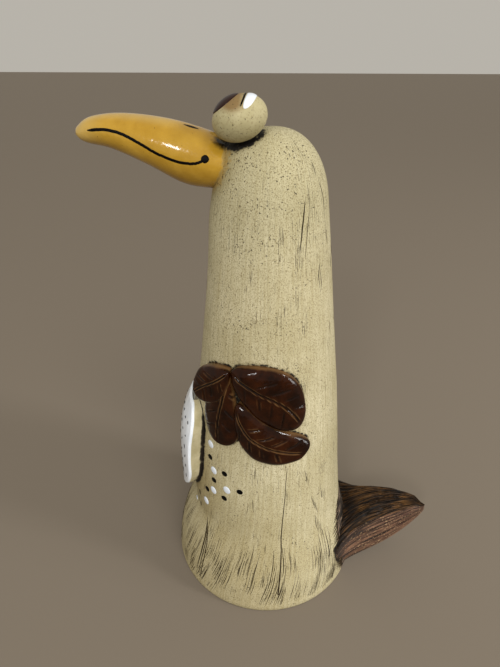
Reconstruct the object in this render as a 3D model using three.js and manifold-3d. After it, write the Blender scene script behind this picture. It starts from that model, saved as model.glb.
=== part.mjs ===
// Ceramic bird figurine: a tall cone-shaped bird, hand-built in clay and fired in one piece.
// Millimetres. +Z is up, the bird looks along -Y, and the origin is the middle of its underside.
import * as THREE from "three";
import { mergeVertices } from "three/addons/utils/BufferGeometryUtils.js";
import Module from "manifold-3d";

// Body: a straight cone with a domed crown, standing on a flared foot
const bodyHeight = 246.8;
const waistRadius = 43.3; // the cone, where the flare starts
const waistHeight = 52;
const headRadius = 25.2; // the cone, where the crown starts
const crownHeight = 29.8;
const crownPower = 2.4; // 2 is a round dome, more is squarer
const bellyOut = 0.9; // the cone's sides bulge this much halfway up
const flareOut = 5.3; // how far the foot stands out of the cone
const flareFull = 12; // below this height the flare is at its full width
const flareEnd = 50; // and gone at this one
const footRound = 4; // rounding of the foot's lower edge
const footTuck = 0.9; // how far that rounding draws in
const pinchDepth = 2.6; // the clay is pressed in below the tablet
const pinchHeight = 46;
const pinchSpread = 8;
const throatFullness = 1.6; // clay smoothed up towards the beak
const throatHeight = 212;
const throatSpread = 16;
const browFullness = 4.2; // and the brow is filled out under the eyes
const browDrop = 7.8; // below the crown
const browSpread = 9;
const frontSpread = 0.75; // radians either side of the front that these reach
const bodySegments = 56;
const coneSteps = 9;
const crownSteps = 11;
const flareSteps = 9;

// Beak: long and heavy, its underside sweeping up to a blunt tip
const beakLength = 58.5; // from the front of the head to the tip
const beakDepth = 25;
const beakWidth = 28;
const beakRoot = 25; // the front of the head, ahead of the axis
const beakDrop = 14; // the beak's middle at the root, below the crown
// Upper and lower edge seen from the side: shares of the length and of the depth
const beakTop = [
  [-0.26, 0.2], [0, 0.47], [0.31, 0.665], [0.64, 0.745], [0.87, 0.69], [0.975, 0.55], [1, 0.44],
];
const beakLow = [
  [-0.26, -0.45], [0.05, -0.43], [0.23, -0.35], [0.46, -0.08], [0.72, 0.176], [0.92, 0.276], [0.995, 0.384],
];
const beakHalf = [0.4, 0.46, 0.46, 0.38, 0.27, 0.17, 0.05]; // half-width, as shares of the width
const beakRings = 18;
const beakSides = 16; // a multiple of four

// Eyes: two flattened balls pressed on the crown
const eyeHalfLength = 11.2;
const eyeHalfDepth = 8.6;
const eyeHalfThickness = 10.4;
const eyeTilt = 0.36; // radians, the rear end up
const eyeForward = 12.4;
const eyeAside = 11.4;
const eyeRest = 10.05; // eye centre above the crown's surface there
const rightEyeForward = 2.6; // the right eye was pressed on a little further forward
const rightEyeSink = 1; // and a little deeper
const eyeSides = 18;
const eyeRings = 10;

// Feathers: four leaves on each side. The place is [degrees from the front, height above the floor].
// widest is the place of the greatest half-width along the leaf, blunt how round its ends are (less is
// rounder), and lift how far the underside stands off the body at the root and at the tip.
const leaves = [
  { root: [64, 147], tip: [36, 129], half: 8.9, bow: 0.4, widest: 0.6, blunt: 0.5, lift: [1.2, 4] },
  { root: [63.5, 145], tip: [58, 105], half: 10.8, bow: 3, widest: 0.7, blunt: 0.46, lift: [0.6, 0] },
  { root: [66, 148.5], tip: [117.5, 119.5], half: 13.2, bow: 3.8, widest: 0.53, blunt: 0.55,
    lift: [0.8, 0] },
  { root: [70, 130.5], tip: [122.2, 104], half: 10.6, bow: -7.2, widest: 0.62, blunt: 0.35, lift: [0, 0] },
];
const leafThickness = 4.2;
const leafBury = 2; // how deep the underside sinks into the body
const leafEnd = 0.012; // its first and last section, as a share of the length from either end
const leafThin = 0.45; // share of the thickness kept where a section narrows to nothing
const leafDome = 0.7; // lower is flatter on top with steeper sides
const leafRings = 10;
const leafSides = 12; // a multiple of four

// Tablet: a curved slab held against the chest
const tabletBottom = 57;
const tabletTop = 115;
const tabletRadius = 48.6; // its front, upright over the lower part
const tabletThickness = 6.3;
const tabletHalfAngle = 0.62; // radians either side of the front
const tabletLowCorner = 22; // corner radii of its outline
const tabletTopCorner = 14;
const tabletBend = 75; // above this height it bends back towards the chest
const tabletLean = 7.2; // this far at the top
const tabletRings = 14;
const tabletSides = 12;
const backing = 3; // clay behind the slab that joins it to the chest

// Tail: a wedge, combed lengthwise, widening where it joins the foot
const tailStart = 44; // where it comes out of the foot, behind the axis
const tailReach = 53; // from there to the tip
const tailHalfWidth = 16.5;
const tailFlare = 11.5; // widening at the root, and how far out that lasts
const tailFlareLength = 10;
const tailTopRoot = 23; // height of the upper edges at the root and at the tip
const tailTopTip = 37.5;
const tailLowRoot = 2.2; // height of the underside at the root and at the tip
const tailLowTip = 30;
const tailLowPower = 2.4; // how late the underside sweeps up
const tailCrownRoot = 3.5; // the top is raised this much along its middle at the root
const tailCrownHump = 9.6; // and this much more halfway along
const tailTaper = 0.75; // its half-width shrinks as this power of the length left
const tailRise = 0.6; // its upper edges rise as this power of the length
const tailTipStart = 0.86; // from this share of the length the top drops to the tip
const tailTipEnd = 1.02;
const tailTipDepth = 0.6; // half the thickness left at the tip
const tailBuried = 0.3; // this share of the length runs on into the foot
const tailEnd = 0.996; // the last section, just short of a point
// Its section: places across the top and the underside, as shares of the half-width, with the share
// of the middle's rise above the upper edges, and the drop below the lower ones in mm
const tailOver = [[-1, 0], [-0.8, 0.5], [-0.45, 0.87], [0, 1], [0.45, 0.87], [0.8, 0.5], [1, 0]];
const tailUnder = [[0.9, 0], [0.6, 0.3], [0.3, 0.5], [0, 0.6], [-0.3, 0.5], [-0.6, 0.3], [-0.9, 0]];
const tailRings = 16;

const wasm = await Module();
wasm.setup();

function smoothstep(low, high, value) {
  return THREE.MathUtils.smoothstep(value, low, high);
}

function bell(distance, spread) {
  return Math.exp(-((distance / spread) ** 2));
}

// Radius of the plain cone at a height
function coneRadius(z) {
  const share = (z - waistHeight) / (bodyHeight - crownHeight - waistHeight);
  const belly = bellyOut * Math.sin(Math.PI * THREE.MathUtils.clamp(share, 0, 1));
  return THREE.MathUtils.lerp(waistRadius, headRadius, share) + belly;
}

// Radius of the turned body at a height: cone, plus flare, under the crown
function turnedRadius(z) {
  const crownShare = THREE.MathUtils.clamp((z - bodyHeight + crownHeight) / crownHeight, 0, 1);
  const crown = (1 - crownShare ** crownPower) ** (1 / crownPower);
  const flare = flareOut * (1 - smoothstep(flareFull, flareEnd, z));
  const tuck = footTuck * Math.max(0, 1 - z / footRound) ** 2;
  return (coneRadius(z) + flare) * crown - tuck;
}

// What the maker's thumb did at the front: pinched in below the tablet, full at throat and brow
function pressed(angle, z) {
  const front = bell(angle, frontSpread);
  const throat = throatFullness * bell(z - throatHeight, throatSpread);
  const brow = browFullness * bell(z - bodyHeight + browDrop, browSpread);
  return front * (throat + brow - pinchDepth * bell(z - pinchHeight, pinchSpread));
}

function bodyRadius(angle, z) {
  return turnedRadius(z) + pressed(angle, z);
}

// A point at an angle from the front, positive towards the bird's left
function around(angle, z, radius) {
  return new THREE.Vector3(radius * Math.sin(angle), -radius * Math.cos(angle), z);
}

function solidFrom(geometry) {
  geometry.deleteAttribute("normal");
  geometry.deleteAttribute("uv");
  const merged = mergeVertices(geometry, 1e-4);
  const corners = merged.index.array;
  const kept = [];
  for (let i = 0; i < corners.length; i += 3) {
    const [a, b, c] = corners.slice(i, i + 3);
    if (a !== b && b !== c && c !== a) kept.push(a, b, c);
  }
  return new wasm.Manifold(
    new wasm.Mesh({
      numProp: 3,
      vertProperties: new Float32Array(merged.attributes.position.array),
      triVerts: new Uint32Array(kept),
    }),
  );
}

// A closed skin over rings of points. Each ring runs out along one side and back along the other,
// so both ends are closed by rungs from side to side.
function skin(rings) {
  const count = rings[0].length;
  const index = [];
  for (let r = 0; r + 1 < rings.length; r++) {
    for (let i = 0; i < count; i++) {
      const next = (i + 1) % count;
      const here = r * count;
      const above = here + count;
      index.push(here + i, here + next, above + next, here + i, above + next, above + i);
    }
  }
  const last = (rings.length - 1) * count;
  for (let i = 0; i + 1 < count / 2; i++) {
    const back = count - 1 - i;
    index.push(i, back, i + 1, i + 1, back, back - 1);
    index.push(last + i, last + i + 1, last + back, last + i + 1, last + back - 1, last + back);
  }
  const geometry = new THREE.BufferGeometry().setFromPoints(rings.flat());
  geometry.setIndex(index);
  const solid = solidFrom(geometry);
  if (solid.volume() > 0) return solid;
  for (let i = 0; i < index.length; i += 3) [index[i], index[i + 1]] = [index[i + 1], index[i]];
  geometry.setIndex(index);
  return solidFrom(geometry);
}

function bodySolid() {
  const crownStart = bodyHeight - crownHeight;
  const heights = [0, footRound / 3, footRound];
  for (let i = 1; i <= flareSteps; i++) {
    heights.push(THREE.MathUtils.lerp(footRound, waistHeight, i / flareSteps));
  }
  for (let i = 1; i <= coneSteps; i++) {
    heights.push(THREE.MathUtils.lerp(waistHeight, crownStart, i / coneSteps));
  }
  for (let i = 1; i < crownSteps; i++) {
    heights.push(crownStart + crownHeight * Math.sin((i / crownSteps) * (Math.PI / 2)));
  }
  const profile = [new THREE.Vector2(0, 0)];
  for (const z of heights) profile.push(new THREE.Vector2(turnedRadius(z), z));
  profile.push(new THREE.Vector2(0, bodyHeight));
  const turned = new THREE.LatheGeometry(profile, bodySegments);
  turned.rotateX(Math.PI / 2);
  const points = turned.attributes.position;
  for (let i = 0; i < points.count; i++) {
    const radius = Math.hypot(points.getX(i), points.getY(i));
    if (radius < 1) continue;
    const angle = Math.atan2(points.getX(i), -points.getY(i));
    const share = (radius + pressed(angle, points.getZ(i))) / radius;
    points.setXY(i, points.getX(i) * share, points.getY(i) * share);
  }
  return solidFrom(turned);
}

function beakSolid() {
  const middle = bodyHeight - beakDrop;
  const place = ([along, rise]) => {
    return new THREE.Vector2(-beakRoot - along * beakLength, middle + rise * beakDepth);
  };
  const edge = (shares) => new THREE.SplineCurve(shares.map(place));
  const top = edge(beakTop);
  const low = edge(beakLow);
  const sides = new THREE.SplineCurve(beakHalf.map((share, i) => new THREE.Vector2(i, share * beakWidth)));
  const rings = [];
  for (let r = 0; r <= beakRings; r++) {
    const share = r / beakRings;
    const upper = top.getPoint(share);
    const lower = low.getPoint(share);
    const half = sides.getPoint(share).y;
    const ring = [];
    for (let i = 0; i < beakSides; i++) {
      const turn = ((i + 0.5) / beakSides) * Math.PI * 2;
      const rise = 0.5 + 0.5 * Math.sin(turn);
      const along = lower.clone().lerp(upper, rise);
      ring.push(new THREE.Vector3(half * Math.cos(turn), along.x, along.y));
    }
    rings.push([...ring.slice(beakSides / 4), ...ring.slice(0, beakSides / 4)]);
  }
  return skin(rings);
}

// Height of the crown's surface at a place seen from above
function crownSurface(x, y) {
  const angle = Math.atan2(x, -y);
  let low = bodyHeight - crownHeight;
  let high = bodyHeight;
  for (let i = 0; i < 30; i++) {
    const z = (low + high) / 2;
    if (bodyRadius(angle, z) > Math.hypot(x, y)) low = z;
    else high = z;
  }
  return low;
}

function eyeSolid(side) {
  const right = side < 0 ? 1 : 0;
  const forward = eyeForward + right * rightEyeForward;
  const height = crownSurface(side * eyeAside, -forward) + eyeRest - right * rightEyeSink;
  const ball = new THREE.SphereGeometry(1, eyeSides, eyeRings);
  ball.scale(eyeHalfThickness, eyeHalfLength, eyeHalfDepth);
  ball.rotateX(eyeTilt);
  ball.translate(side * eyeAside, -forward, height);
  return solidFrom(ball);
}

// Share of a leaf's greatest half-width, along the leaf
function leafOutline(share, leaf) {
  const power = Math.log(0.5) / Math.log(leaf.widest);
  return Math.sin(Math.PI * share ** power) ** leaf.blunt;
}

function leafSolid(leaf, side) {
  const [rootAngle, rootHeight] = leaf.root;
  const [tipAngle, tipHeight] = leaf.tip;
  const radius = coneRadius((rootHeight + tipHeight) / 2);
  const run = THREE.MathUtils.degToRad(tipAngle - rootAngle) * radius;
  const rise = tipHeight - rootHeight;
  const length = Math.hypot(run, rise);
  const across = new THREE.Vector2(-rise / length, run / length);
  if (across.y < 0) across.negate();
  const rings = [];
  for (let r = 0; r <= leafRings; r++) {
    const share = THREE.MathUtils.lerp(leafEnd, 1 - leafEnd, r / leafRings);
    const half = leaf.half * leafOutline(share, leaf);
    const bow = leaf.bow * Math.sin(Math.PI * share);
    const lift = THREE.MathUtils.lerp(leaf.lift[0], leaf.lift[1], share);
    const thickness = leafThickness * Math.min(1, leafThin + half / leaf.half);
    const ring = [];
    for (let i = 0; i < leafSides; i++) {
      const turn = (i / leafSides) * Math.PI * 2;
      const aside = half * Math.cos(turn) + bow;
      const angle = THREE.MathUtils.degToRad(rootAngle) + (share * run + aside * across.x) / radius;
      const z = rootHeight + share * rise + aside * across.y;
      const up = Math.sin(turn);
      const out = up > 0 ? lift + thickness * up ** leafDome : leafBury * up;
      ring.push(around(side * angle, z, bodyRadius(side * angle, z) + out));
    }
    rings.push([...ring.slice(leafSides / 4), ...ring.slice(0, leafSides / 4)]);
  }
  return skin(rings);
}

// The tablet's outline is a rectangle with round corners, wrapped round the chest
function tabletSolid() {
  const rings = [];
  for (let r = 0; r <= tabletRings; r++) {
    const turn = (r / tabletRings) * Math.PI;
    const z = THREE.MathUtils.lerp(tabletBottom, tabletTop, 0.5 - 0.5 * Math.cos(turn));
    const corner = turn < Math.PI / 2 ? tabletLowCorner : tabletTopCorner;
    const inset = Math.max(0, tabletBottom + corner - z, z - tabletTop + corner);
    const round = corner - Math.sqrt(Math.max(0, corner ** 2 - inset ** 2));
    const bend = Math.max(0, (z - tabletBend) / (tabletTop - tabletBend));
    const front = tabletRadius - tabletLean * bend ** 3;
    const halfAngle = tabletHalfAngle - round / tabletRadius;
    const face = [];
    const behind = [];
    for (let i = 0; i <= tabletSides; i++) {
      const angle = THREE.MathUtils.lerp(-halfAngle, halfAngle, i / tabletSides);
      face.push(around(angle, z, front));
      behind.push(around(angle, z, Math.min(front - tabletThickness, bodyRadius(angle, z)) - backing));
    }
    rings.push([...face, ...behind.reverse()]);
  }
  return skin(rings);
}

function tailSolid() {
  const rings = [];
  for (let r = 0; r <= tailRings; r++) {
    const share = THREE.MathUtils.lerp(-tailBuried, tailEnd, Math.sin((r / tailRings) * (Math.PI / 2)));
    const along = Math.max(0, share);
    const flare = tailFlare * Math.exp((-along * tailReach) / tailFlareLength);
    const half = tailHalfWidth * (1 - along) ** tailTaper + flare;
    const edge = THREE.MathUtils.lerp(tailTopRoot, tailTopTip, along ** tailRise);
    const low = THREE.MathUtils.lerp(tailLowRoot, tailLowTip, along ** tailLowPower);
    const crown = tailCrownRoot * (1 - along) + tailCrownHump * Math.sin(Math.PI * along);
    const tip = (edge + low) / 2 + tailTipDepth;
    const top = THREE.MathUtils.lerp(edge, tip, smoothstep(tailTipStart, tailTipEnd, along));
    const y = tailStart + share * tailReach;
    const over = tailOver.map(([aside, up]) => new THREE.Vector3(aside * half, y, top + up * crown));
    const under = tailUnder.map(([aside, down]) => new THREE.Vector3(aside * half, y, low - down));
    rings.push([...over, ...under]);
  }
  return skin(rings);
}

function birdGeometry() {
  let bird = bodySolid().add(beakSolid()).add(tabletSolid()).add(tailSolid());
  for (const side of [-1, 1]) {
    bird = bird.add(eyeSolid(side));
    for (const leaf of leaves) bird = bird.add(leafSolid(leaf, side));
  }
  const mesh = bird.getMesh();
  const geometry = new THREE.BufferGeometry();
  geometry.setAttribute("position", new THREE.BufferAttribute(mesh.vertProperties, 3));
  geometry.setIndex(new THREE.BufferAttribute(mesh.triVerts, 1));
  geometry.computeVertexNormals();
  return geometry;
}

const slip = new THREE.MeshStandardMaterial({ color: 0xcabb92, roughness: 0.85, metalness: 0 });
const bird = new THREE.Mesh(birdGeometry(), slip);
bird.name = "bird_figurine";

const figurine = new THREE.Group();
figurine.add(bird);
export default figurine;
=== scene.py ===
import math
import bpy
import numpy as np
from mathutils import Matrix, Vector
from mathutils.bvhtree import BVHTree


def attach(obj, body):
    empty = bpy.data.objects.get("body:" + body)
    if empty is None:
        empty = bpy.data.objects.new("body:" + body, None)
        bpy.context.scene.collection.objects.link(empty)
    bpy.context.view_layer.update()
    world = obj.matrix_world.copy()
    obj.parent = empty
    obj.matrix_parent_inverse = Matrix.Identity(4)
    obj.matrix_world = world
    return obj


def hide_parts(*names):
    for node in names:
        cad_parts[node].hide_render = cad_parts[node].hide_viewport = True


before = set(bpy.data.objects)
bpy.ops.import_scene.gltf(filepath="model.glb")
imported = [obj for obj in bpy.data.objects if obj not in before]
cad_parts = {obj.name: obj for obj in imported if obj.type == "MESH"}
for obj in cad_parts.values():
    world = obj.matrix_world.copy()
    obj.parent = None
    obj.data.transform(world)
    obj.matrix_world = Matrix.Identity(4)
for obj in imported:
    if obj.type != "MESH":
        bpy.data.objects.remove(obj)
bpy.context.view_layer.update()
metre = 0.001


# Numbers and noise

def smoothstep(low, high, value):
    share = np.clip((value - low) / (high - low), 0, 1)
    return share * share * (3 - 2 * share)


def bell(distance, spread):
    return np.exp(-((distance / spread) ** 2))


def lerp(a, b, share):
    return a + (b - a) * share


def halfRound(across, least=0.0):
    # Height of a half-round section, from -1 to 1 across it
    return np.sqrt(np.clip(1 - across ** 2, least, 1))


def ripple(u, v, seed, columns=256, rows=256):
    # Smooth random waves from -1 to 1. u repeats after `columns`, v after `rows`.
    table = np.random.default_rng(seed).uniform(-1, 1, (columns, rows))
    u, v = np.broadcast_arrays(np.asarray(u, float), np.asarray(v, float))
    column, row = np.floor(u).astype(int), np.floor(v).astype(int)
    x, y = u - column, v - row
    x, y = x * x * (3 - 2 * x), y * y * (3 - 2 * y)
    near, far = column % columns, (column + 1) % columns
    low, high = row % rows, (row + 1) % rows
    below = lerp(table[near, low], table[far, low], x)
    return lerp(below, lerp(table[near, high], table[far, high], x), y)


def splineThrough(points, count):
    # Catmull-Rom spline, evenly stepped between its points
    points = np.array(points, float)
    padded = np.concatenate([[2 * points[0] - points[1]], points, [2 * points[-1] - points[-2]]])
    place = np.linspace(0, len(points) - 1, count)
    span = np.minimum(place.astype(int), len(points) - 2)
    t = (place - span)[:, None]
    a, b, c, d = (padded[span + k] for k in range(4))
    bend, twist = 2 * a - 5 * b + 4 * c - d, 3 * b - a - 3 * c + d
    return 0.5 * (2 * b + (c - a) * t + bend * t ** 2 + twist * t ** 3)


# Meshes

def carry(mesh, values):
    # Values on the mesh's points: one number each, or three
    for key, value in values.items():
        value = np.asarray(value, np.float32)
        single = value.ndim == 1
        attribute = mesh.attributes.new(key, "FLOAT" if single else "FLOAT_VECTOR", "POINT")
        attribute.data.foreach_set("value" if single else "vector", value.ravel())


def placed(name, data):
    piece = bpy.data.objects.new(name, data)
    bpy.context.scene.collection.objects.link(piece)
    return piece


def makeMesh(name, points, faces, material, values=None):
    mesh = bpy.data.meshes.new(name)
    mesh.from_pydata((np.asarray(points) * metre).tolist(), [], faces)
    mesh.validate()
    carry(mesh, values or {})
    mesh.polygons.foreach_set("use_smooth", [True] * len(mesh.polygons))
    mesh.materials.append(material)
    piece = placed(name, mesh)
    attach(piece, "root")
    return piece


def gridFaces(rows, columns, closed=False, flip=False):
    r, c = np.meshgrid(np.arange(rows - 1), np.arange(columns if closed else columns - 1), indexing="ij")
    after = (c + 1) % columns
    low, high = r * columns, (r + 1) * columns
    quads = np.stack([low + c, low + after, high + after, high + c], -1).reshape(-1, 4)
    return (quads[:, ::-1] if flip else quads).tolist()


def loopCap(first, count, centre, flip=False):
    caps = [[first + i, first + (i + 1) % count, centre] for i in range(count)]
    return [cap[::-1] for cap in caps] if flip else caps


def facesOutward(points, faces):
    # True when a closed mesh has its faces turned outwards
    fours = [[face[0], face[2], face[3]] for face in faces if len(face) > 3]
    corners = np.array([face[:3] for face in faces] + fours)
    a, b, c = (np.asarray(points)[corners[:, k]] for k in range(3))
    return np.sum(a * np.cross(b, c)) > 0


def closedLoft(rings):
    # Points and faces of a closed skin over rings of equal count, fanned shut at both ends
    rows, columns = rings.shape[:2]
    ends = [rings[0].mean(0), rings[-1].mean(0)]
    points = np.concatenate([rings.reshape(-1, 3), ends])
    faces = gridFaces(rows, columns, closed=True)
    faces += loopCap(0, columns, rows * columns, flip=True)
    faces += loopCap((rows - 1) * columns, columns, rows * columns + 1)
    if not facesOutward(points, faces):
        faces = [face[::-1] for face in faces]
    return points, faces


def loftMesh(name, rings, material):
    points, faces = closedLoft(rings)
    return makeMesh(name, points, faces, material, None)


def treeOf(*pieces):
    points, faces = [], []
    for piece in pieces:
        start = len(points)
        points += [v.co / metre for v in piece.data.vertices]
        faces += [[start + i for i in p.vertices] for p in piece.data.polygons]
    return BVHTree.FromPolygons(points, faces)


def nearness(points, tree, reach):
    # Distance from each point to the tree's surface, counted up to `reach`
    result = np.full(len(points), float(reach))
    for i, point in enumerate(points):
        hit = tree.find_nearest(Vector(point), reach)
        if hit[0] is not None:
            result[i] = hit[3]
    return result


# Materials

def linear(hexCode):
    channels = [int(hexCode[i:i + 2], 16) / 255 for i in (1, 3, 5)]
    return tuple(c / 12.92 if c <= 0.04045 else ((c + 0.055) / 1.055) ** 2.4 for c in channels) + (1.0,)


class NodeTree:
    # A node tree with one short way to add a node, its settings and its links
    family = ""

    def put(self, value, socket):
        # A value is another node's output, a colour, a number or None for what the node has
        if isinstance(value, bpy.types.NodeSocket):
            self.tree.links.new(value, socket)
        elif value is not None:
            socket.default_value = linear(value) if isinstance(value, str) and value[0] == "#" else value

    def add(self, kind, inputs=None, output=0, **settings):
        node = self.tree.nodes.new(self.family + kind)
        for key, value in settings.items():
            setattr(node, key, value)
        for key, value in (inputs or {}).items():
            self.put(value, node.inputs[key])
        return node.outputs[output]


class Surface(NodeTree):
    # A Principled material. `at` holds the marks that its mesh carries, and its patterns of noise as
    # (size in mm, detail, roughness). One size is for grains over the piece, a pair is for strokes over
    # its chart, across and along.
    family = "ShaderNode"

    def __init__(self, name, colour, roughness, coat=0.0, specular=0.5,
                 marks=(), patterns=None, chartAlong=2):
        self.material = bpy.data.materials.new(name)
        self.material.use_nodes = True
        self.tree = self.material.node_tree
        self.shader = self.tree.nodes["Principled BSDF"]
        plain = {"Base Color": colour, "Roughness": roughness, "Specular IOR Level": specular,
                 "Coat Weight": coat, "Coat Roughness": 0.06}
        for key, value in plain.items():
            self.put(value, self.shader.inputs[key])
        self.at = {mark: self.add("Attribute", output="Fac", attribute_name=mark) for mark in marks}
        for key, (size, detail, rough) in (patterns or {}).items():
            if isinstance(size, tuple):
                scale = [1 / size[0]] * 3
                scale[chartAlong] = 1 / size[1]
                chart = self.add("Attribute", output="Vector", attribute_name="chart")
                noise = {"Vector": self.add("Mapping", {"Vector": chart, "Scale": scale}), "Scale": 1.0}
            else:
                noise = {"Vector": self.add("TexCoord", output="Object"), "Scale": 1000 / size}
            self.at[key] = self.add("TexNoise", {**noise, "Detail": detail, "Roughness": rough})

    def raised(self, base, share, extra):
        # base + share * extra
        part = self.add("Math", {0: extra, 1: share}, operation="MULTIPLY")
        return self.add("Math", {0: base, 1: part}, operation="ADD")

    def frayed(self, mark, noise, amount):
        # A mark whose border is broken up by noise
        return self.raised(mark, amount, self.add("Math", {0: noise, 1: 0.5}, operation="SUBTRACT"))

    def wash(self, under, over, value, low, high, most=1.0):
        # The colour `over` comes up to `most` as the value goes from low to high
        return self.tint(under, over, self.add("MapRange", {0: value, 1: low, 2: high, 4: most}))

    def tint(self, under, over, mark, most=1.0):
        # The colour `over` where the mark is, up to `most`
        share = self.add("Math", {0: mark, 1: most}, operation="MULTIPLY")
        return self.add("Mix", {0: share, 6: under, 7: over}, 2, data_type="RGBA")

    def oxideAndShadeInSeam(self, colour, fray, low, high, dark):
        # Dark oxide and painted shade in the seam, ragged at its border and nowhere else
        seam = self.at["seam"]
        ragged = self.add("MapRange", {0: self.frayed(seam, self.at["grime"], fray), 1: low, 2: high})
        return self.tint(colour, dark, ragged, self.add("MapRange", {0: seam, 1: 0.02, 2: 0.2}))

    def finish(self, colour=None, roughness=None, *bumps):
        # Roughness is (value, low, high, at low, at high), each bump (height, depth in mm, strength)
        rough = self.add("MapRange", dict(enumerate(roughness))) if roughness else None
        normal = None
        for height, depth, strength in bumps:
            inputs = {"Height": height, "Distance": depth * metre, "Strength": strength, "Normal": normal}
            normal = self.add("Bump", inputs)
        for key, value in (("Base Color", colour), ("Roughness", rough), ("Normal", normal)):
            self.put(value, self.shader.inputs[key])
        return self.material


# Cream slip, brushed on matt: stoneware clay under a thin wash of lighter clay. The eye sees chalky
# cream, darker where it is thin and towards the foot, with painted shade beside the tablet and in the
# seams, and dark oxide rubbed into scratches, specks and seams.
# Real grains of 0.1 to 0.2 mm would not show, so grit, specks and grain are drawn at 0.5 to 0.8 mm.
def creamSlip():
    s = Surface("CreamSlip", "#cabb92", 0.72, specular=0.35,
                marks=("combed", "head", "throat", "seam", "tailRoot"), patterns={
                    "brush": ((1.1111, 28.571), 4.0, 0.65), "wear": ((18.182, 33.333), 2.0, 0.5),
                    "scratch": ((0.43478, 9.0909), 2.0, 0.5), "rib": ((10.0, 0.76923), 2.0, 0.5),
                    "cloud": (35.714, 4.0, 0.6), "patch": (11.111, 2.0, 0.5), "grime": (2.381, 3.0, 0.7),
                    "fuzz": (1.9231, 3.0, 0.7), "speck": (0.8, 0.0, 0.5), "grain": (0.66667, 3.0, 0.6),
                    "grit": (0.52632, 3.0, 0.7)})
    at = s.at
    colour = s.wash("#b4aa87", "#c8bf9e", at["cloud"], 0.36, 0.66)
    colour = s.wash(colour, "#9a8c62", at["brush"], 0.42, 0.72, 0.6)
    # Painted shade beside and below the tablet, and darker towards the foot
    colour = s.wash(colour, "#8c7a4c", at["combed"], 0.1, 1.0, 0.7)
    colour = s.tint(colour, "#a19a76", at["head"], 0.35)
    colour = s.wash(colour, "#6f6039", at["grit"], 0.5, 0.64, 0.8)
    # Scratches lie where the slip is worn, specks in patches and more of them on the head
    scratches = s.add("MapRange", {
        0: s.raised(at["scratch"], 0.36, at["wear"]), 1: 0.86, 2: 0.93, 4: 0.8,
    })
    speckle = s.raised(s.raised(at["speck"], 0.34, at["patch"]), 0.05, at["head"])
    specks = s.add("MapRange", {0: speckle, 1: 0.945, 2: 0.99, 4: 0.75})
    dark = s.add("Math", {0: scratches, 1: specks}, operation="MAXIMUM")
    # Darker near the beak, and yellow glaze thinning out over the throat
    colour = s.wash(colour, "#84764a", at["throat"], 0.1, 0.9, 0.6)
    colour = s.wash(colour, "#a07a24", s.frayed(at["throat"], at["fuzz"], 0.9), 0.75, 1.15, 0.8)
    colour = s.tint(colour, "#2c2414", dark)
    # Tan wash, then dark oxide with painted shade, in the seams round the fitted pieces and where the
    # leaves meet
    colour = s.wash(colour, "#6b5c36", at["seam"], 0.0, 0.9, 0.55)
    colour = s.oxideAndShadeInSeam(colour, 2.2, 0.42, 0.8, "#120e0a")
    # The tail's dark root, ribbed by the comb, its ribs lighter where the comb drew them, with a painted
    # highlight
    rib = s.add("MapRange", {0: at["rib"], 1: 0.53, 2: 0.6})
    ribsWithPaintedHighlight = s.tint("#120e0b", "#8c7662", rib)
    colour = s.wash(colour, ribsWithPaintedHighlight, s.frayed(at["tailRoot"], rib, 0.5), 0.45, 0.6)
    clay = s.raised(1.0, -0.8, dark)
    return s.finish(colour, (at["cloud"], 0.3, 0.7, 0.66, 0.8), (at["brush"], 0.35, 0.55),
                    (clay, 0.25, 0.8), (at["grain"], 0.16, 0.6), (at["grit"], 0.3, 0.5))


# Bare unglazed clay of the underside: matt, even and sandy
def bareClay():
    s = Surface("BareClay", "#9b8d6b", 0.9, specular=0.25, patterns={"grain": (1.4286, 4.0, 0.7)})
    colour = s.wash("#8d7f5d", "#b1a37f", s.at["grain"], 0.35, 0.7)
    return s.finish(colour, None, (s.at["grain"], 0.3, 0.6))


# Glossy yellow glaze over cream clay: deep amber yellow with iron specks and a faint orange peel,
# thin and matt where the beak grows out of the head
def yellowGlaze():
    s = Surface("YellowGlaze", "#c59a33", 0.24, coat=0.15, specular=0.4,
                marks=("pale", "bare", "seam"), patterns={
                    "cloud": (16.667, 4.0, 0.6), "peel": (3.0303, 2.0, 0.5), "grime": (2.381, 3.0, 0.5),
                    "fuzz": (1.9231, 3.0, 0.7), "iron": (1.25, 1.0, 0.4)})
    at = s.at
    colour = s.wash("#9c751c", "#b28b2f", at["cloud"], 0.35, 0.68)
    colour = s.tint(colour, "#c2a96a", at["pale"], 0.5)
    colour = s.wash(colour, "#3a2a0c", at["iron"], 0.76, 0.8, 0.6)
    bare = s.add("MapRange", {0: s.frayed(at["bare"], at["fuzz"], 0.9), 1: 0.6, 2: 1.0})
    colour = s.tint(colour, "#85754a", bare, 0.75)
    # Dark oxide and painted shade where the beak meets the eyes
    colour = s.oxideAndShadeInSeam(colour, 0.6, 0.5, 0.85, "#120e0a")
    return s.finish(
        colour, (bare, 0.0, 1.0, 0.15, 0.75), (at["cloud"], 1.4, 0.4), (at["peel"], 0.2, 0.35)
    )


# Glossy brown iron glaze: near black where it lies thick, amber where it breaks over edges and ribs, with
# painted shade in the vein cuts
def brownGlaze():
    s = Surface("BrownGlaze", "#2b0f04", 0.12, specular=0.24,
                marks=("thin", "cut"), patterns={"cloud": (7.6923, 4.0, 0.6)})
    cloud = s.at["cloud"]
    colour = s.wash("#130400", "#2b1002", cloud, 0.36, 0.66)
    colour = s.wash(colour, "#674a2b", s.frayed(s.at["thin"], cloud, 0.9), 0.35, 1.0, 0.9)
    # Near black in the vein cuts: glaze pooled there, and painted shade
    colour = s.tint(colour, "#0a0502", s.at["cut"])
    return s.finish(colour, (cloud, 0.3, 0.7, 0.08, 0.15), (cloud, 1.2, 0.4))


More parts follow.
